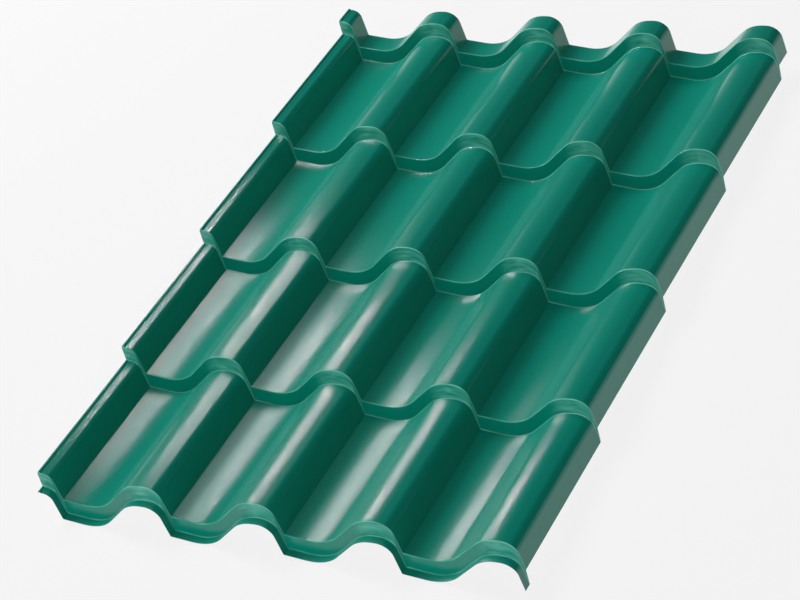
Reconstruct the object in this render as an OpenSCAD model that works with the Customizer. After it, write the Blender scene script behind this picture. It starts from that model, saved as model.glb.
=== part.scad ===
// Pressed steel roof tile sheet: asymmetric waves across, one step for each
// batten up the slope. X runs across the roof, Y runs up the slope and Z is up.
// The origin is on the level that the sheet rests on, under the middle of its box.

/* [Steps] */
// Length of one tile row, which is the batten spacing
row_length = 350; // [250:5:450]
// Number of whole tile rows
row_count = 4; // [1:1:6]
// Drop at each step
step_height = 34; // [12:1:45]
// How far the foot of a step stands out in front of its top edge
step_slant = 4; // [0:0.5:10]
// Length left past the top edge of the last step, under the next sheet
top_strip = 49; // [20:1:120]
// Length left in front of the foot of the first step
front_lip = 18; // [8:1:60]

/* [Waves] */
// Width of one wave, from crease to crease
wave_pitch = 255; // [250:1:320]
// Number of whole waves
wave_count = 4; // [1:1:6]
// Height of a crest above the creases
crest_height = 78; // [50:1:95]
// Distance from a crease to the low corner of the pan
pan_width = 89; // [60:1:110]
// How far the pan falls from the crease to that corner
pan_fall = 13; // [0:1:25]
// Radius of the bend at the bottom of the pan
valley_radius = 90; // [30:1:130]
// Distance from a crease to the corner where the rise meets crest level
shoulder_width = 187; // [170:1:190]
// Radius of the bend where the rise turns into the crest
shoulder_radius = 72; // [20:1:90]
// How far the top of the steep side stands back from the next crease
steep_inset = 4; // [1:0.5:20]
// Radius of the bend from the crest into the steep side
crest_radius = 30; // [8:1:45]

/* [Edges] */
// Width of the half rib on the underlapping edge
rib_width = 28; // [28:1:45]
// How much lower the half rib's outer edge is than the crests that cover it
rib_drop = 3; // [1:0.5:8]
// How far the half rib's top falls from its outer edge to its steep side
rib_fall = 9; // [4:1:15]
// How far the top of the half rib's steep side stands back from the first crease
rib_inset = 1; // [0.5:0.5:3]
// Radius of the bend from the half rib's top into its steep side
rib_radius = 19; // [3:1:25]
// Width of the flat strip outside the drain groove
edge_strip = 4; // [2:0.5:5]
// Width of the drain groove along the half rib
groove_width = 5; // [3:0.5:7]
// Depth of the drain groove
groove_depth = 2; // [1:0.5:4]
// Depth of the lip turned down along the half rib
lip_depth = 4; // [2:0.5:12]
// Height of the overlapping free edge above its crease level
free_edge_rise = 8; // [0:1:30]

/* [Sheet] */
// Thickness of the coated steel
sheet_thickness = 0.5; // [0.4:0.05:1.5]
// Straight pieces that stand for the widest bend
bend_steps = 8; // [4:1:12]

/* [Hidden] */

// Widest turn that a wave makes in one bend, which bend_steps divides
FULL_TURN = 90;
// Most of a straight that one bend may use up
BEND_SHARE = 0.49;

function turn_angle(a, b, c) =
    let (u = b - a, v = c - b)
    atan2(u[0] * v[1] - u[1] * v[0], u * v);

// Points of the bend at corner b, between the straights from a and to c.
// Its radius is limited by how much of each straight it may use.
function bend(a, b, c, radius) =
    let (
        u = (b - a) / norm(b - a),
        v = (c - b) / norm(c - b),
        turn = turn_angle(a, b, c),
        reach = abs(tan(turn / 2)),
        room = BEND_SHARE * min(norm(b - a), norm(c - b)),
        r = min(radius, room / reach),
        side = sign(turn),
        start = b - u * r * reach,
        centre = start + side * r * [-u[1], u[0]],
        from_centre = start - centre,
        steps = max(1, ceil(bend_steps * abs(turn) / FULL_TURN))
    )
    [for (k = [0:steps])
        let (t = turn * k / steps)
        centre + [
            from_centre[0] * cos(t) - from_centre[1] * sin(t),
            from_centre[0] * sin(t) + from_centre[1] * cos(t)
        ]];

// One wave from its crease up to, but not on, the next crease
function wave_line(x) =
    let (
        crease = [x, 0],
        pan = [x + pan_width, -pan_fall],
        shoulder = [x + shoulder_width, crest_height],
        brow = [x + wave_pitch - steep_inset, crest_height],
        next_crease = [x + wave_pitch, 0]
    )
    concat(
        [crease],
        bend(crease, pan, shoulder, valley_radius),
        bend(pan, shoulder, brow, shoulder_radius),
        bend(shoulder, brow, next_crease, crest_radius)
    );

// Point on the half rib's sloping top, at a distance from its outer edge
function rib_top(from_edge) = [
    from_edge - rib_width,
    crest_height - rib_drop - rib_fall * from_edge / (rib_width - rib_inset)
];

// The half rib on the underlapping edge, from its lip to just before the first crease
function rib_line() =
    let (
        fold = rib_top(0),
        groove_floor = rib_top(edge_strip + groove_width / 2) - [0, groove_depth],
        brow = rib_top(rib_width - rib_inset)
    )
    concat(
        [fold - [lip_depth / 3, lip_depth], fold],
        [rib_top(edge_strip), groove_floor, rib_top(edge_strip + groove_width)],
        bend(fold, brow, [0, 0], rib_radius)
    );

// The whole cross-section as one open line, from the lip to the free edge
function section_line() =
    let (
        width = wave_count * wave_pitch,
        free_edge = [width - steep_inset * free_edge_rise / crest_height, free_edge_rise]
    )
    concat(
        rib_line(),
        [for (i = [0:wave_count - 1]) each wave_line(i * wave_pitch)],
        [free_edge]
    );

// Unit normal of the straight from p to q, on the upper side of the sheet
function upper_normal(p, q) = let (d = (q - p) / norm(q - p)) [-d[1], d[0]];

// Line at the sheet's thickness below an open line, mitred at its corners
function under_line(line) =
    let (last = len(line) - 1)
    [for (i = [0:last])
        let (
            before = upper_normal(line[max(i - 1, 0)], line[max(i, 1)]),
            after = upper_normal(line[min(i, last - 1)], line[min(i + 1, last)])
        )
        line[i] - sheet_thickness * (before + after) / (1 + before * after)];

// How far the sheet falls for each millimetre up the slope, between two steps
FALL = step_height / (row_length - step_slant);

// Rows up the slope as [y of the upper face, y of the under face, height].
// The sheet falls by one step over each tile row, then climbs the step again.
function step_rows(y) = [
    [y - step_slant, y - step_slant + sheet_thickness, 0],
    [y, y + sheet_thickness, step_height]
];
function slope_rows() =
    let (
        front = -step_slant - front_lip,
        back = row_count * row_length + top_strip
    )
    concat(
        [[front, front, FALL * front_lip]],
        [for (j = [0:row_count]) each step_rows(j * row_length)],
        [[back, back, step_height - FALL * top_strip]]
    );

UPPER = section_line();
UNDER = under_line(UPPER);
ROWS = slope_rows();

// Where the box of the sheet begins and ends, to set the origin under its middle
LOW_X = min([for (p = concat(UPPER, UNDER)) p[0]]);
HIGH_X = max([for (p = concat(UPPER, UNDER)) p[0]]);
LOW_Z = min([for (p = UNDER) p[1]]);
MIDDLE = [(LOW_X + HIGH_X) / 2, (ROWS[0][0] + ROWS[len(ROWS) - 1][0]) / 2, LOW_Z];

module tile_sheet() {
    across = len(UPPER);
    rows = len(ROWS);
    face = across * rows;
    upper_points = [for (row = ROWS, p = UPPER) [p[0], row[0], p[1] + row[2]]];
    under_points = [for (row = ROWS, p = UNDER) [p[0], row[1], p[1] + row[2]]];
    // Point number i across in row j, on the upper (0) or under (1) face
    function at(side, i, j) = side * face + j * across + i;
    function quad(a, b, c, d) = [[a, b, c], [a, c, d]];
    upper = [for (j = [0:rows - 2], i = [0:across - 2])
        each quad(at(0, i, j), at(0, i, j + 1), at(0, i + 1, j + 1), at(0, i + 1, j))];
    under = [for (j = [0:rows - 2], i = [0:across - 2])
        each quad(at(1, i, j), at(1, i + 1, j), at(1, i + 1, j + 1), at(1, i, j + 1))];
    cut_ends = [for (i = [0:across - 2]) each concat(
        quad(at(0, i, 0), at(0, i + 1, 0), at(1, i + 1, 0), at(1, i, 0)),
        quad(at(0, i, rows - 1), at(1, i, rows - 1), at(1, i + 1, rows - 1), at(0, i + 1, rows - 1))
    )];
    cut_sides = [for (j = [0:rows - 2]) each concat(
        quad(at(0, 0, j), at(1, 0, j), at(1, 0, j + 1), at(0, 0, j + 1)),
        quad(at(0, across - 1, j), at(0, across - 1, j + 1), at(1, across - 1, j + 1), at(1, across - 1, j))
    )];
    color([0, 0.42, 0.33])
        translate(-MIDDLE)
            polyhedron(
                points = concat(upper_points, under_points),
                faces = concat(upper, under, cut_ends, cut_sides)
            );
}

tile_sheet();
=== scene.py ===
"""The looks of the metal roof tile sheet: one pressed sheet of coated steel on a pale floor."""
import math

import bpy
import numpy as np
from mathutils import Matrix, Vector


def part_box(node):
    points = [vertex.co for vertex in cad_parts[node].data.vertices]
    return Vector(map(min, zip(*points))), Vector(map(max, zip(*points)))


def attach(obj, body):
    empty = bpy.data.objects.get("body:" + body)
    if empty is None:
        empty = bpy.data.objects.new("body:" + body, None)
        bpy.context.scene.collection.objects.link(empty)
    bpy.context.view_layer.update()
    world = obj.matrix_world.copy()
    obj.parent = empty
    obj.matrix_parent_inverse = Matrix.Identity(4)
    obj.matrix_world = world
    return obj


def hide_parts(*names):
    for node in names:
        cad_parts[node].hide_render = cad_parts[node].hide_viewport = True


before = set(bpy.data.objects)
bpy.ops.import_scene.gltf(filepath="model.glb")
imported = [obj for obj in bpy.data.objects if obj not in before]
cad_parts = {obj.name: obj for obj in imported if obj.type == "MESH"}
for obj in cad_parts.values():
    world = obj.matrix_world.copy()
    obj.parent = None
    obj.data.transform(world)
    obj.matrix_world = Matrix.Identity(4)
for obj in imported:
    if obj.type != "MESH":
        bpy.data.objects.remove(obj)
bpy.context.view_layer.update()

SHEET_LOW, SHEET_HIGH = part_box("tile_sheet")
MM = 0.001

# ---------------------------------------------------------------- the sheet's sizes, in mm
# These repeat the driving values of the part's source.
ROW_LENGTH = 350
ROW_COUNT = 4
STEP_HEIGHT = 34
STEP_SLANT = 4
TOP_STRIP = 49
FRONT_LIP = 18
WAVE_PITCH = 255
WAVE_COUNT = 4
CREST_HEIGHT = 78
PAN_WIDTH = 89
PAN_FALL = 13
VALLEY_RADIUS = 90
SHOULDER_WIDTH = 187
SHOULDER_RADIUS = 72
STEEP_INSET = 4
CREST_RADIUS = 30
RIB_WIDTH = 28
RIB_DROP = 3
RIB_FALL = 9
RIB_INSET = 1
RIB_RADIUS = 19
EDGE_STRIP = 4
GROOVE_WIDTH = 5
GROOVE_DEPTH = 2
LIP_DEPTH = 4
FREE_EDGE_RISE = 8
THICKNESS = 0.5

# The small bends that the source leaves sharp
CREASE_RADIUS = 2.5
EDGE_FOLD_RADIUS = 1.5
GROOVE_RADIUS = 1.2
STEP_TOP_RADIUS = 2.2
STEP_FOOT_RADIUS = 2.2

# How far in front of a step the gloss shows the sheet lifting, and how steeply in the end
LIFT_REACH = 31
LIFT = math.radians(18)

# The rib and one wave as their gloss shows them, broader than their outlines, as corners
# (x, z, radius). The rib's x is from the first crease, and a wave's is from its own crease.
GLOSS_RIB = [(-28, 71, 0), (-2, 69, 9)]
GLOSS_WAVE = [(54, -10.5, 158), (108, 3, 37), (175, 67, 35), (208, 79, 95), (251, 75, 16)]

# How strong the painted highlight on the steps is, where 1 and more is fully pale: on the folds of the
# steps, what a crest adds to that, and on the steps' faces over a crest. Then how much of a crest there
# is at each x from a wave's own crease, as corners (x, share).
PAINTED_FOLD_HIGHLIGHT = 0.9
PAINTED_CREST_FOLD_HIGHLIGHT = 0.9
PAINTED_FACE_HIGHLIGHT = 0.6
PAINTED_HIGHLIGHT_CREST = [(165, 0), (215, 1), (250, 0.6)]

# The sheet is on a step's face where it climbs more steeply than this
FACE_HEADING = math.radians(45)

# How finely the sheet's lines are drawn
WAVE_TURN = math.radians(8)
STEP_TURN = math.radians(10)
LONGEST_ACROSS = 24
LONGEST_ALONG = 14


def rounded_line(corners, turn_step, longest):
    """Points along a line whose corners (u, v, radius) are rounded.

    Also the line's heading at each point, and how deep in a bend it is, from 0 to 1.
    """
    at = [np.array(corner[:2], float) for corner in corners]
    headings = [math.atan2(*(b - a)[::-1]) for a, b in zip(at, at[1:])]
    points, turned, bent = [at[0]], [headings[0]], [0]
    for k in range(1, len(corners) - 1):
        before, after = headings[k - 1], headings[k]
        turn, radius = after - before, corners[k][2]
        along = np.array([math.cos(before), math.sin(before)])
        left = np.array([-along[1], along[0]]) * math.copysign(1, turn)
        start = at[k] - along * radius * abs(math.tan(turn / 2))
        steps = max(1, math.ceil(abs(turn) / turn_step))
        for s in range(steps + 1):
            part = abs(turn) * s / steps
            points.append(start + radius * (along * math.sin(part) + left * (1 - math.cos(part))))
            turned.append(before + turn * s / steps)
            bent.append(math.sin(math.pi * s / steps))
    points.append(at[-1])
    turned.append(headings[-1])
    bent.append(0)

    # The long straights are cut up, which keeps their heading
    fine, fine_turned, fine_bent = [points[0]], [turned[0]], [0]
    for a, b, heading, depth in zip(points, points[1:], turned[1:], bent[1:]):
        pieces = max(1, math.ceil(np.linalg.norm(b - a) / longest))
        for s in range(1, pieces + 1):
            fine.append(a + (b - a) * s / pieces)
            fine_turned.append(heading)
            fine_bent.append(depth)
    return np.array(fine), np.array(fine_turned), np.array(fine_bent)


def cross_section():
    """The sheet across the roof: the half rib, then the waves, then the free edge."""
    edge = CREST_HEIGHT - RIB_DROP
    slope = RIB_FALL / (RIB_WIDTH - RIB_INSET)

    def on_rib(from_edge, radius, depth=0):
        return from_edge - RIB_WIDTH, edge - slope * from_edge - depth, radius

    corners = [
        (-RIB_WIDTH - LIP_DEPTH / 3, edge - LIP_DEPTH, 0),
        on_rib(0, EDGE_FOLD_RADIUS),
        on_rib(EDGE_STRIP, GROOVE_RADIUS),
        on_rib(EDGE_STRIP + GROOVE_WIDTH / 2, GROOVE_RADIUS, GROOVE_DEPTH),
        on_rib(EDGE_STRIP + GROOVE_WIDTH, GROOVE_RADIUS),
        on_rib(RIB_WIDTH - RIB_INSET, RIB_RADIUS),
    ]
    for i in range(WAVE_COUNT):
        x = i * WAVE_PITCH
        corners += [
            (x, 0, CREASE_RADIUS),
            (x + PAN_WIDTH, -PAN_FALL, VALLEY_RADIUS),
            (x + SHOULDER_WIDTH, CREST_HEIGHT, SHOULDER_RADIUS),
            (x + WAVE_PITCH - STEEP_INSET, CREST_HEIGHT, CREST_RADIUS),
        ]
    set_back = STEEP_INSET * FREE_EDGE_RISE / CREST_HEIGHT
    corners.append((WAVE_COUNT * WAVE_PITCH - set_back, FREE_EDGE_RISE, 0))
    return rounded_line(corners, WAVE_TURN, LONGEST_ACROSS)


def gloss_heading(section, across):
    """The cross-section's headings, past the rib's groove those that the gloss shows."""
    corners = [*GLOSS_RIB]
    for i in range(WAVE_COUNT):
        corners.append((i * WAVE_PITCH, 0, CREASE_RADIUS))
        corners += [(i * WAVE_PITCH + x, z, radius) for x, z, radius in GLOSS_WAVE]
    corners.append((WAVE_COUNT * WAVE_PITCH, 0, 0))
    gloss, heading, _ = rounded_line(corners, WAVE_TURN / 2, LONGEST_ACROSS)
    past_groove = section[:, 0] > EDGE_STRIP + GROOVE_WIDTH + GROOVE_RADIUS - RIB_WIDTH
    return np.where(past_groove, np.interp(section[:, 0], gloss[:, 0], heading), across)


def slope_line():
    """The sheet up the roof: a lip, then a step and a falling row for each batten."""
    fall = STEP_HEIGHT / (ROW_LENGTH - STEP_SLANT)
    corners = [(-STEP_SLANT - FRONT_LIP, fall * FRONT_LIP, 0)]
    for j in range(ROW_COUNT + 1):
        corners.append((j * ROW_LENGTH - STEP_SLANT, 0, STEP_FOOT_RADIUS))
        corners.append((j * ROW_LENGTH, STEP_HEIGHT, STEP_TOP_RADIUS))
    corners.append((ROW_COUNT * ROW_LENGTH + TOP_STRIP, STEP_HEIGHT - fall * TOP_STRIP, 0))
    return rounded_line(corners, STEP_TURN, LONGEST_ALONG)


def lifted_heading(slope, along):
    """The slope line's headings, with the lift that the gloss shows just before each step."""
    before_step = np.mod(-STEP_SLANT - slope[:, 0], ROW_LENGTH)
    lift = LIFT * np.clip(1 - before_step / LIFT_REACH, 0, 1)
    fall = -math.atan2(STEP_HEIGHT, ROW_LENGTH - STEP_SLANT)
    return np.maximum(along, fall + lift)


def painted_highlight(section, along, folded):
    """The painted highlight at each point of the upper face: how pale it makes the coat on the steps'
    folds and faces.
    """
    crest = np.interp(np.mod(section[:, 0], WAVE_PITCH), *zip(*PAINTED_HIGHLIGHT_CREST))
    face = (along > FACE_HEADING) * PAINTED_FACE_HIGHLIGHT
    return np.maximum(np.outer(folded, PAINTED_FOLD_HIGHLIGHT + PAINTED_CREST_FOLD_HIGHLIGHT * crest), np.outer(face, crest))


def carried(section, slope):
    """The points of a cross-section carried along a slope line, row after row."""
    grid = np.zeros((len(slope), len(section), 3))
    grid[..., 0] = section[:, 0]
    grid[..., 1] = slope[:, 0][:, None]
    grid[..., 2] = section[:, 1] + slope[:, 1][:, None]
    return grid.reshape(-1, 3)


def sheet_points(section, across, slope, along):
    """The points of the upper face and then of the under face, in the frame."""
    section_in = np.stack([np.sin(across), -np.cos(across)], 1)
    slope_in = np.stack([np.sin(along), 1 - np.cos(along)], 1)
    slope_in[[0, -1], 0] = 0  # the two cut ends stand upright
    upper = carried(section, slope)
    under = carried(section + THICKNESS * section_in, slope + THICKNESS * slope_in)
    points = np.concatenate([upper, under])

    # The lowest corner of the sheet's box is where the source has it
    return (points - points.min(0)) * MM + np.array(SHEET_LOW)


def strip(a, b):
    """Quads between two matching rows of point numbers."""
    return np.stack([a[:-1], a[1:], b[1:], b[:-1]], 1)


def sheet_faces(nx, ny):
    """The quads of the upper face, of the under face and of the four cut edges."""
    upper = np.arange(nx * ny).reshape(ny, nx)
    under = upper + nx * ny
    top = np.concatenate([strip(upper[j], upper[j + 1]) for j in range(ny - 1)])
    bottom = np.concatenate([strip(under[j + 1], under[j]) for j in range(ny - 1)])
    cuts = np.concatenate([
        strip(under[0], upper[0]),
        strip(upper[-1], under[-1]),
        strip(upper[:, 0], under[:, 0]),
        strip(under[:, -1], upper[:, -1]),
    ])
    return top, bottom, cuts


def upper_normals(section, across, slope, along):
    """The upper face's normals as the gloss shows them, which keep the flats flat beside the bends."""
    glossed = gloss_heading(section, across)
    lifted = lifted_heading(slope, along)[:, None]
    normal = np.zeros((len(slope), len(section), 3))
    normal[..., 0] = -np.sin(glossed) * np.cos(lifted)
    normal[..., 1] = -np.cos(glossed) * np.sin(lifted)
    normal[..., 2] = np.cos(glossed) * np.cos(lifted)
    normal = normal.reshape(-1, 3)
    return normal / np.linalg.norm(normal, axis=1)[:, None]


def add_sheet(materials):
    """The sheet as one closed mesh: the cross-section carried along the slope line."""
    section, across, _ = cross_section()
    slope, along, folded = slope_line()
    points = sheet_points(section, across, slope, along)
    top, bottom, cuts = sheet_faces(len(section), len(slope))

    mesh = bpy.data.meshes.new("tile_sheet_pressed")
    mesh.from_pydata(points.tolist(), [], np.concatenate([top, bottom, cuts]).tolist())
    kinds = np.repeat([0, 1, 2], [len(top), len(bottom), len(cuts)])
    mesh.polygons.foreach_set("material_index", kinds)
    mesh.polygons.foreach_set("use_smooth", kinds < 2)
    for material in materials:
        mesh.materials.append(material)
    # The painted highlight's strength at each point, none on the under face
    highlight_share = painted_highlight(section, along, folded).ravel()
    pale = mesh.attributes.new("pale", "FLOAT", "POINT")
    pale.data.foreach_set("value", np.concatenate([highlight_share, np.zeros(len(highlight_share))]))

    # The cut edges keep the normals of their own faces
    normal = upper_normals(section, across, slope, along)
    corner_normals = np.concatenate([
        normal[top.ravel()],
        -normal[bottom.ravel() - len(normal)],
        np.zeros((cuts.size, 3)),
    ])
    mesh.normals_split_custom_set(corner_normals.tolist())
    mesh.validate()

    sheet = bpy.data.objects.new("tile_sheet_pressed", mesh)
    bpy.context.scene.collection.objects.link(sheet)
    return sheet


# ---------------------------------------------------------------- materials
# Base colours, in pairs that each material drifts between, and the colour of the painted highlight where
# the coat is palest
COAT_GREENS = [(0.0, 0.25, 0.180), (0.0, 0.27, 0.196)]
PAINTED_HIGHLIGHT_COLOUR = (0.22, 0.78, 0.62)
BACK_COAT_GREYS = [(0.34, 0.35, 0.33), (0.40, 0.41, 0.39)]
CUT_EDGE_GREYS = [(0.30, 0.33, 0.32), (0.45, 0.47, 0.46)]


def new_material(name):
    """A new material, its node tree and its main shader."""
    material = bpy.data.materials.new(name)
    material.use_nodes = True
    tree = material.node_tree
    return material, tree, tree.nodes["Principled BSDF"]


def noise(tree, scale, stretch=(1, 1, 1), detail=2.0):
    """A noise in the sheet's own metres, with its scale multiplied by stretch along X, Y and Z."""
    where = tree.nodes.new("ShaderNodeTexCoord")
    mapping = tree.nodes.new("ShaderNodeMapping")
    mapping.inputs["Scale"].default_value = stretch
    texture = tree.nodes.new("ShaderNodeTexNoise")
    texture.inputs["Scale"].default_value = scale
    texture.inputs["Detail"].default_value = detail
    tree.links.new(where.outputs["Object"], mapping.inputs["Vector"])
    tree.links.new(mapping.outputs["Vector"], texture.inputs["Vector"])
    return texture.outputs["Fac"]


def ranged(tree, value, low, high):
    """The value of a noise, spread between low and high."""
    node = tree.nodes.new("ShaderNodeMapRange")
    node.inputs["From Min"].default_value = 0.25
    node.inputs["From Max"].default_value = 0.75
    node.inputs["To Min"].default_value = low
    node.inputs["To Max"].default_value = high
    tree.links.new(value, node.inputs["Value"])
    return node.outputs["Result"]


def bump(tree, height, distance, under=None):
    """A bump whose full height is distance, in metres, on top of another bump."""
    node = tree.nodes.new("ShaderNodeBump")
    node.inputs["Distance"].default_value = distance
    tree.links.new(height, node.inputs["Height"])
    if under:
        tree.links.new(under, node.inputs["Normal"])
    return node.outputs["Normal"]


def mixed_colour(tree, value, first, second):
    """A colour from first to second as value goes from 0 to 1. First may be another node's colour."""
    node = tree.nodes.new("ShaderNodeMix")
    node.data_type = "RGBA"
    if isinstance(first, tuple):
        node.inputs["A"].default_value = (*first, 1)
    else:
        tree.links.new(first, node.inputs["A"])
    node.inputs["B"].default_value = (*second, 1)
    tree.links.new(value, node.inputs["Factor"])
    return node.outputs["Result"]


def paint_material():
    """Glossy moss green polyester coat."""
    material, tree, shader = new_material("moss_green_coat")
    drift = ranged(tree, noise(tree, 3.0, (1, 0.4, 1)), 0, 1)
    colour = mixed_colour(tree, drift, *COAT_GREENS)

    # A painted highlight on the folds of the steps and on the steps' faces over the crests, paler in
    # fine lines along them
    pale = tree.nodes.new("ShaderNodeAttribute")
    pale.attribute_name = "pale"
    lines = noise(tree, 900.0, (0.03, 1, 0), 1.0)
    in_lines = tree.nodes.new("ShaderNodeMath")
    in_lines.operation = "MULTIPLY"
    tree.links.new(pale.outputs["Fac"], in_lines.inputs[0])
    tree.links.new(ranged(tree, lines, 0.1, 1.0), in_lines.inputs[1])
    colour = mixed_colour(tree, in_lines.outputs["Value"], colour, PAINTED_HIGHLIGHT_COLOUR)
    tree.links.new(colour, shader.inputs["Base Color"])
    tree.links.new(ranged(tree, noise(tree, 9.0, (1, 0.15, 1)), 0.20, 0.25), shader.inputs["Roughness"])
    streaks = bump(tree, noise(tree, 30.0, (1, 0.02, 1), 1.0), 0.00008)
    peel = bump(tree, noise(tree, 600.0), 0.000004, streaks)
    tree.links.new(peel, shader.inputs["Normal"])
    shader.inputs["IOR"].default_value = 1.4
    shader.inputs["Sheen Weight"].default_value = 0.07
    shader.inputs["Sheen Roughness"].default_value = 0.4
    return material


def back_coat_material():
    """Thin grey lacquer on the under side."""
    material, tree, shader = new_material("grey_back_coat")
    drift = ranged(tree, noise(tree, 12.0, (1, 0.1, 1)), 0, 1)
    colour = mixed_colour(tree, drift, *BACK_COAT_GREYS)
    tree.links.new(colour, shader.inputs["Base Color"])
    tree.links.new(ranged(tree, noise(tree, 20.0), 0.5, 0.6), shader.inputs["Roughness"])
    return material


def cut_edge_material():
    """Bare zinc-coated steel where the sheet was sheared."""
    material, tree, shader = new_material("sheared_steel_edge")
    drift = ranged(tree, noise(tree, 300.0), 0, 1)
    colour = mixed_colour(tree, drift, *CUT_EDGE_GREYS)
    tree.links.new(colour, shader.inputs["Base Color"])
    tree.links.new(ranged(tree, noise(tree, 500.0), 0.35, 0.5), shader.inputs["Roughness"])
    shader.inputs["Metallic"].default_value = 0.8
    return material


# ---------------------------------------------------------------- floor, light and camera
# How far the floor reaches each way from its middle, in metres
FLOOR_REACH = 40.0

# The share of the floor that is plain white in the picture; the rest of it keeps the sheet's shadow
FLOOR_WHITE = 0.8

# How light the world is at the horizon and above, and the height at which the fade between them ends
HORIZON_WHITE = 0.95
SKY_GREY = 0.04
WHITE_UP_TO = math.radians(8)


def add_floor():
    """A wide floor, mostly white to the camera and in reflections, under the sheet."""
    mesh = bpy.data.meshes.new("floor")
    sides = [(-1, -1), (1, -1), (1, 1), (-1, 1)]
    corners = [(x * FLOOR_REACH, y * FLOOR_REACH, SHEET_LOW.z) for x, y in sides]
    mesh.from_pydata(corners, [], [(0, 1, 2, 3)])
    floor = bpy.data.objects.new("floor", mesh)
    bpy.context.scene.collection.objects.link(floor)

    material = bpy.data.materials.new("pale_floor")
    material.use_nodes = True
    tree = material.node_tree
    tree.nodes.clear()
    pale = tree.nodes.new("ShaderNodeBsdfDiffuse")
    pale.inputs["Color"].default_value = (0.8, 0.8, 0.8, 1)
    white = tree.nodes.new("ShaderNodeEmission")
    mix = tree.nodes.new("ShaderNodeMixShader")
    path = tree.nodes.new("ShaderNodeLightPath")
    seen = path.outputs["Is Camera Ray"]
    for kind in ("Is Glossy Ray", "Is Transmission Ray"):
        either = tree.nodes.new("ShaderNodeMath")
        either.operation = "MAXIMUM"
        tree.links.new(seen, either.inputs[0])
        tree.links.new(path.outputs[kind], either.inputs[1])
        seen = either.outputs[0]
    share = tree.nodes.new("ShaderNodeMath")
    share.operation = "MULTIPLY"
    share.inputs[1].default_value = FLOOR_WHITE
    tree.links.new(seen, share.inputs[0])
    out = tree.nodes.new("ShaderNodeOutputMaterial")
    tree.links.new(share.outputs[0], mix.inputs[0])
    tree.links.new(pale.outputs[0], mix.inputs[1])
    tree.links.new(white.outputs[0], mix.inputs[2])
    tree.links.new(mix.outputs[0], out.inputs["Surface"])
    mesh.materials.append(material)


def direction(azimuth, elevation):
    """Unit vector at an azimuth from +X towards +Y and an elevation, both in degrees."""
    a, e = math.radians(azimuth), math.radians(elevation)
    return Vector((math.cos(a) * math.cos(e), math.sin(a) * math.cos(e), math.sin(e)))


def add_softbox(name, azimuth, elevation, roll, distance, width, height, radiance):
    """A rectangular lamp facing the sheet, with its width turned by roll from level."""
    lamp = bpy.data.lights.new(name, "AREA")
    lamp.shape = "RECTANGLE"
    lamp.size, lamp.size_y = width, height
    lamp.energy = radiance * math.pi * width * height
    thing = bpy.data.objects.new(name, lamp)
    bpy.context.scene.collection.objects.link(thing)
    away = direction(azimuth, elevation)
    centre = (SHEET_LOW + SHEET_HIGH) / 2
    thing.rotation_mode = "QUATERNION"
    turn = (-away).to_track_quat("-Z", "Y") @ Matrix.Rotation(math.radians(roll), 3, "Z").to_quaternion()
    thing.rotation_quaternion = turn
    thing.location = centre + away * distance
    thing.visible_camera = False
    return thing


def light_sheet():
    """A window seen only in the gloss, three lamps that aren't seen in it, and one for the steps."""
    # In the photo no wave hides these two from the next, so neither casts a shadow. The window is
    # sampled as a lamp only, because a reflected ray on its way to it could meet the next wave.
    window = add_softbox(
        "window", azimuth=155.6, elevation=34.2, roll=26.4,
        distance=1.07, width=0.67, height=0.524, radiance=6.8,
    )
    window.visible_diffuse = False
    window.data.use_shadow = False
    window.data.cycles.use_multiple_importance_sampling = False
    key = add_softbox(
        "key", azimuth=150, elevation=15, roll=0,
        distance=7.0, width=3.0, height=3.0, radiance=16.0,
    )
    key.data.use_shadow = False
    above = add_softbox(
        "above", azimuth=155, elevation=60, roll=0,
        distance=7.0, width=3.0, height=3.0, radiance=5.5,
    )
    fill = add_softbox(
        "fill", azimuth=0, elevation=45, roll=0,
        distance=7.0, width=4.0, height=3.0, radiance=1.0,
    )
    for lamp in (key, above, fill):
        lamp.visible_glossy = False
    add_softbox(
        "low", azimuth=275, elevation=12, roll=0,
        distance=7.0, width=4.0, height=2.0, radiance=7.5,
    )


def add_world():
    """A dim sky that turns white towards the horizon."""
    # Along Z, a direction's length is the sine of its height above the horizon
    world = bpy.data.worlds.new("studio")
    bpy.context.scene.world = world
    world.use_nodes = True
    tree = world.node_tree
    background = tree.nodes["Background"]
    where = tree.nodes.new("ShaderNodeTexCoord")
    split = tree.nodes.new("ShaderNodeSeparateXYZ")
    fade = tree.nodes.new("ShaderNodeMapRange")
    fade.interpolation_type = "SMOOTHSTEP"
    fade.inputs["From Min"].default_value = 0.0
    fade.inputs["From Max"].default_value = math.sin(WHITE_UP_TO)
    fade.inputs["To Min"].default_value = HORIZON_WHITE
    fade.inputs["To Max"].default_value = SKY_GREY
    tree.links.new(where.outputs["Generated"], split.inputs[0])
    tree.links.new(split.outputs["Z"], fade.inputs["Value"])
    tree.links.new(fade.outputs["Result"], background.inputs["Color"])


def add_camera():
    """The photo's view: from the sheet's front right, looking down, with the picture's level tilted."""
    # Aside moves the aim off the middle.
    azimuth, elevation, roll, distance = 39.08, 39.63, -21.43, 5.3184
    aside = Vector((-0.0141, -0.1027, 0))
    aim = (SHEET_LOW + SHEET_HIGH) / 2 + aside
    a, e = math.radians(azimuth), math.radians(elevation)
    back = Vector((math.sin(a) * math.cos(e), -math.cos(a) * math.cos(e), math.sin(e)))
    data = bpy.data.cameras.new("camera")
    data.sensor_width = 36
    data.lens = 119.35
    camera = bpy.data.objects.new("camera", data)
    bpy.context.scene.collection.objects.link(camera)
    camera.location = aim + back * distance
    camera.rotation_mode = "QUATERNION"
    level = (-back).to_track_quat("-Z", "Y")
    camera.rotation_quaternion = level @ Matrix.Rotation(math.radians(roll), 3, "Z").to_quaternion()
    bpy.context.scene.camera = camera


# ---------------------------------------------------------------- the scene
sheet = add_sheet([paint_material(), back_coat_material(), cut_edge_material()])
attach(sheet, "root")
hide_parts("tile_sheet")
add_floor()
light_sheet()
add_world()
add_camera()
bpy.context.scene.view_settings.view_transform = "Standard"
